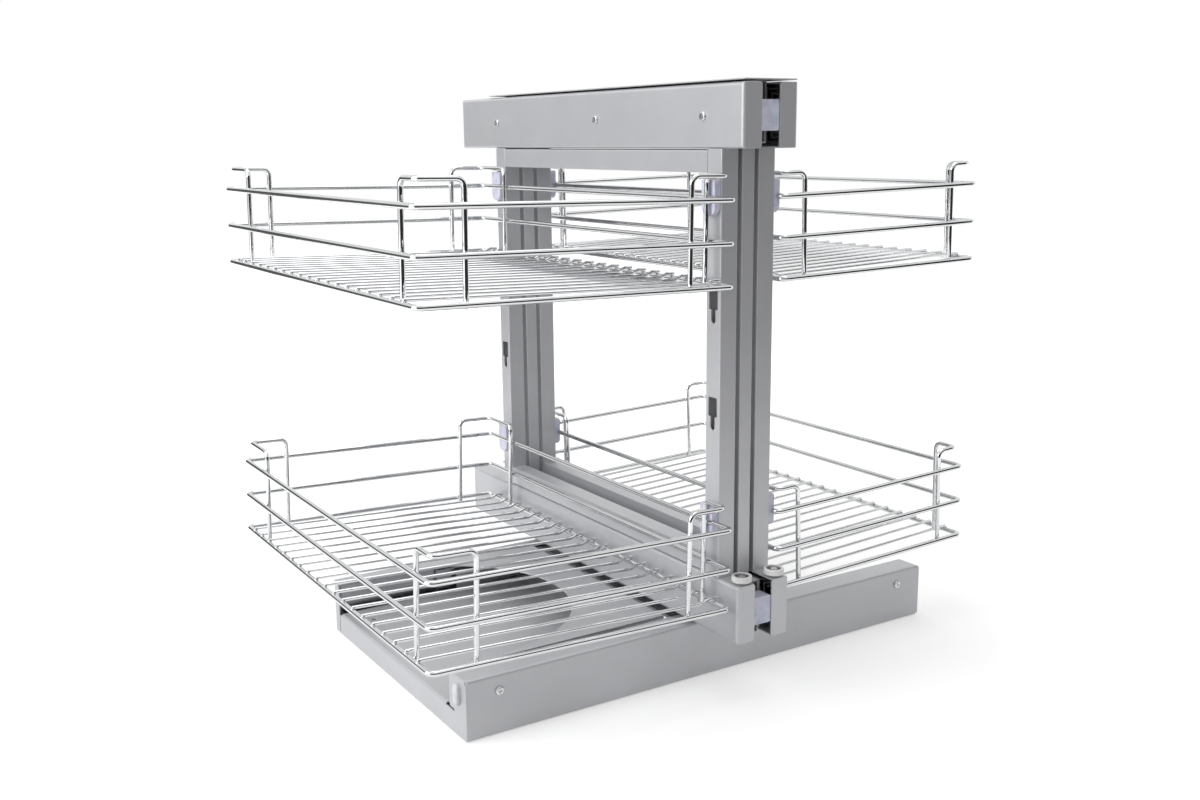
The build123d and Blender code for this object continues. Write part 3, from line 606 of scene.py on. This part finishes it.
def make_bearing_shield(side):
    """A black ring in the wheel's recess: a stepped profile of radius and height, carried round the pin.

    point = wheel's centre + (radius*cos(v), radius*sin(v), height), with v from 0 to a full turn.
    """
    low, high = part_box(f"{side}_guide_roller")
    middle = [(a + b) / 2 for a, b in zip(low, high)]
    height = high[2] - ROLLER_RECESS + SHIELD_HEIGHTS
    v = np.linspace(0, 2 * math.pi, SHIELD_SIDES, endpoint=False)[:, None]
    x = middle[0] + SHIELD_RADII * np.cos(v)
    y = middle[1] + SHIELD_RADII * np.sin(v)
    grid = np.stack(np.broadcast_arrays(x, y, height), -1)
    stations = len(SHIELD_RADII)
    quads = tube_quads(SHIELD_SIDES, stations, closed=True)[:, [0, 3, 2, 1]]
    piece = put_mesh(f"{side}_bearing_shield", grid, quads)
    piece.data.materials.append(SHIELD)
    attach(piece, f"{side}_roller")


# Studio
def make_camera():
    """Looks along yaw 32.186 degrees, 11.708 degrees down, rolled by -0.613 degrees."""
    yaw, pitch, roll = 0.561746, 0.204343, -0.0106985
    ahead = Vector((math.sin(yaw) * math.cos(pitch), math.cos(yaw) * math.cos(pitch), -math.sin(pitch)))
    level = ahead.cross(Vector((0, 0, 1))).normalized()
    above = level.cross(ahead)
    right = math.cos(roll) * level + math.sin(roll) * above
    up = math.cos(roll) * above - math.sin(roll) * level
    turn = Matrix((right, up, -ahead)).transposed()
    data = bpy.data.cameras.new("camera")
    data.sensor_width = 36.0
    data.lens = 36.0 * 1264.43 / 1200
    data.clip_end = 50
    camera = bpy.data.objects.new("camera", data)
    camera.matrix_world = Matrix.Translation(Vector((-0.68563, -1.03583, 0.49311))) @ turn.to_4x4()
    bpy.context.scene.collection.objects.link(camera)
    bpy.context.scene.camera = camera


def make_world():
    """White where the camera, gloss or glass looks; a plain even light for the rest."""
    bpy.context.scene.view_settings.view_transform = "Standard"
    world = bpy.data.worlds.new("studio")
    bpy.context.scene.world = world
    world.use_nodes = True
    tree = world.node_tree
    path = add_node(tree, "LightPath")
    seen = sum_of(tree, path.outputs["Is Camera Ray"], path.outputs["Is Glossy Ray"])
    seen = sum_of(tree, seen, path.outputs["Is Transmission Ray"])
    tree.links.new(spread(tree, seen, 0.0, 1.0, 0.5, 1.0), tree.nodes["Background"].inputs["Strength"])
    tree.nodes["Background"].inputs["Color"].default_value = (1, 1, 1, 1)


def make_floor():
    """A white paper floor. It glows a little for the camera, so that it's white where no shadow falls."""
    corners = [(-6, -6, -0.0005), (6, -6, -0.0005), (6, 6, -0.0005), (-6, 6, -0.0005)]
    floor = put_mesh("studio_floor", corners, [(0, 1, 2, 3)])
    material, tree, shader = new_finish("white_paper", Base_Color=(0.7, 0.7, 0.7, 1), Roughness=0.9)
    shader.inputs["Specular IOR Level"].default_value = 0.0
    shader.inputs["Emission Color"].default_value = (1, 1, 1, 1)
    path = add_node(tree, "LightPath")
    seen = sum_of(tree, path.outputs["Is Camera Ray"], path.outputs["Is Glossy Ray"])
    place = add_node(tree, "TexCoord").outputs["Object"]
    distance = add_node(tree, "VectorMath", {0: place}, operation="LENGTH").outputs["Value"]
    glow = spread(tree, distance, 0.35, 1.1, 0.42, 0.85)
    tree.links.new(product_of(tree, seen, glow), shader.inputs["Emission Strength"])
    floor.data.materials.append(material)


def make_flag(name, first, last, reach, rise, shade):
    """A cloth round part of the studio, seen only in gloss: it lies on the floor and curves up.

    At azimuth a, between the first and the last, its distance is reach + 1.2*sin(v) and its height
    0.002 + rise*(1 - cos(v)), with v from 0 to a quarter turn.
    """
    a = np.radians(np.linspace(first, last, 25))[:, None]
    v = np.linspace(0, math.pi / 2, 13)[None, :]
    r = reach + 1.2 * np.sin(v)
    grid = np.stack(np.broadcast_arrays(r * np.cos(a), r * np.sin(a), 0.002 + rise * (1 - np.cos(v))), -1)
    i, j = np.arange(24)[:, None], np.arange(12)[None, :]
    quads = np.stack([i * 13 + j, i * 13 + j + 1, (i + 1) * 13 + j + 1, (i + 1) * 13 + j], -1)
    flag = put_mesh(name, grid, quads)
    material, tree, shader = new_finish(name + "_cloth", Base_Color=(shade, shade, shade, 1), Roughness=1.0)
    flag.data.materials.append(material)
    for kind in ("camera", "diffuse", "transmission", "shadow", "volume_scatter"):
        setattr(flag, f"visible_{kind}", False)


def make_lamp(name, place, target, size, power):
    data = bpy.data.lights.new(name, "AREA")
    data.shape = "RECTANGLE"
    data.size, data.size_y = size
    data.energy = power
    lamp = bpy.data.objects.new(name, data)
    aim = (Vector(target) - Vector(place)).to_track_quat("-Z", "Y")
    lamp.matrix_world = Matrix.Translation(Vector(place)) @ aim.to_matrix().to_4x4()
    bpy.context.scene.collection.objects.link(lamp)


make_camera()
make_world()
make_floor()
make_flag("studio_front_flag", -152, -32, 1.15, 1.3, 0.02)
make_flag("studio_rear_flag", 104, 150, 1.3, 0.9, 0.12)
make_lamp("left_softbox", (-2.4, 0.3, 1.5), (0, 0, 0.25), (1.8, 1.8), 48)
make_lamp("top_softbox", (0.2, 0.2, 2.4), (0, 0, 0.25), (1.8, 1.8), 18)

dress_nodes()
for side_name in SIDES:
    make_bearing_shield(side_name)
    for level_name in LEVELS:
        rail, hoop, floor_piece = make_basket(side_name, level_name)
        stem = f"{side_name}_{level_name}_basket"
        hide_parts(f"{stem}_rails")
        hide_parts(f"{stem}_hoops")
        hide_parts(f"{stem}_floor")
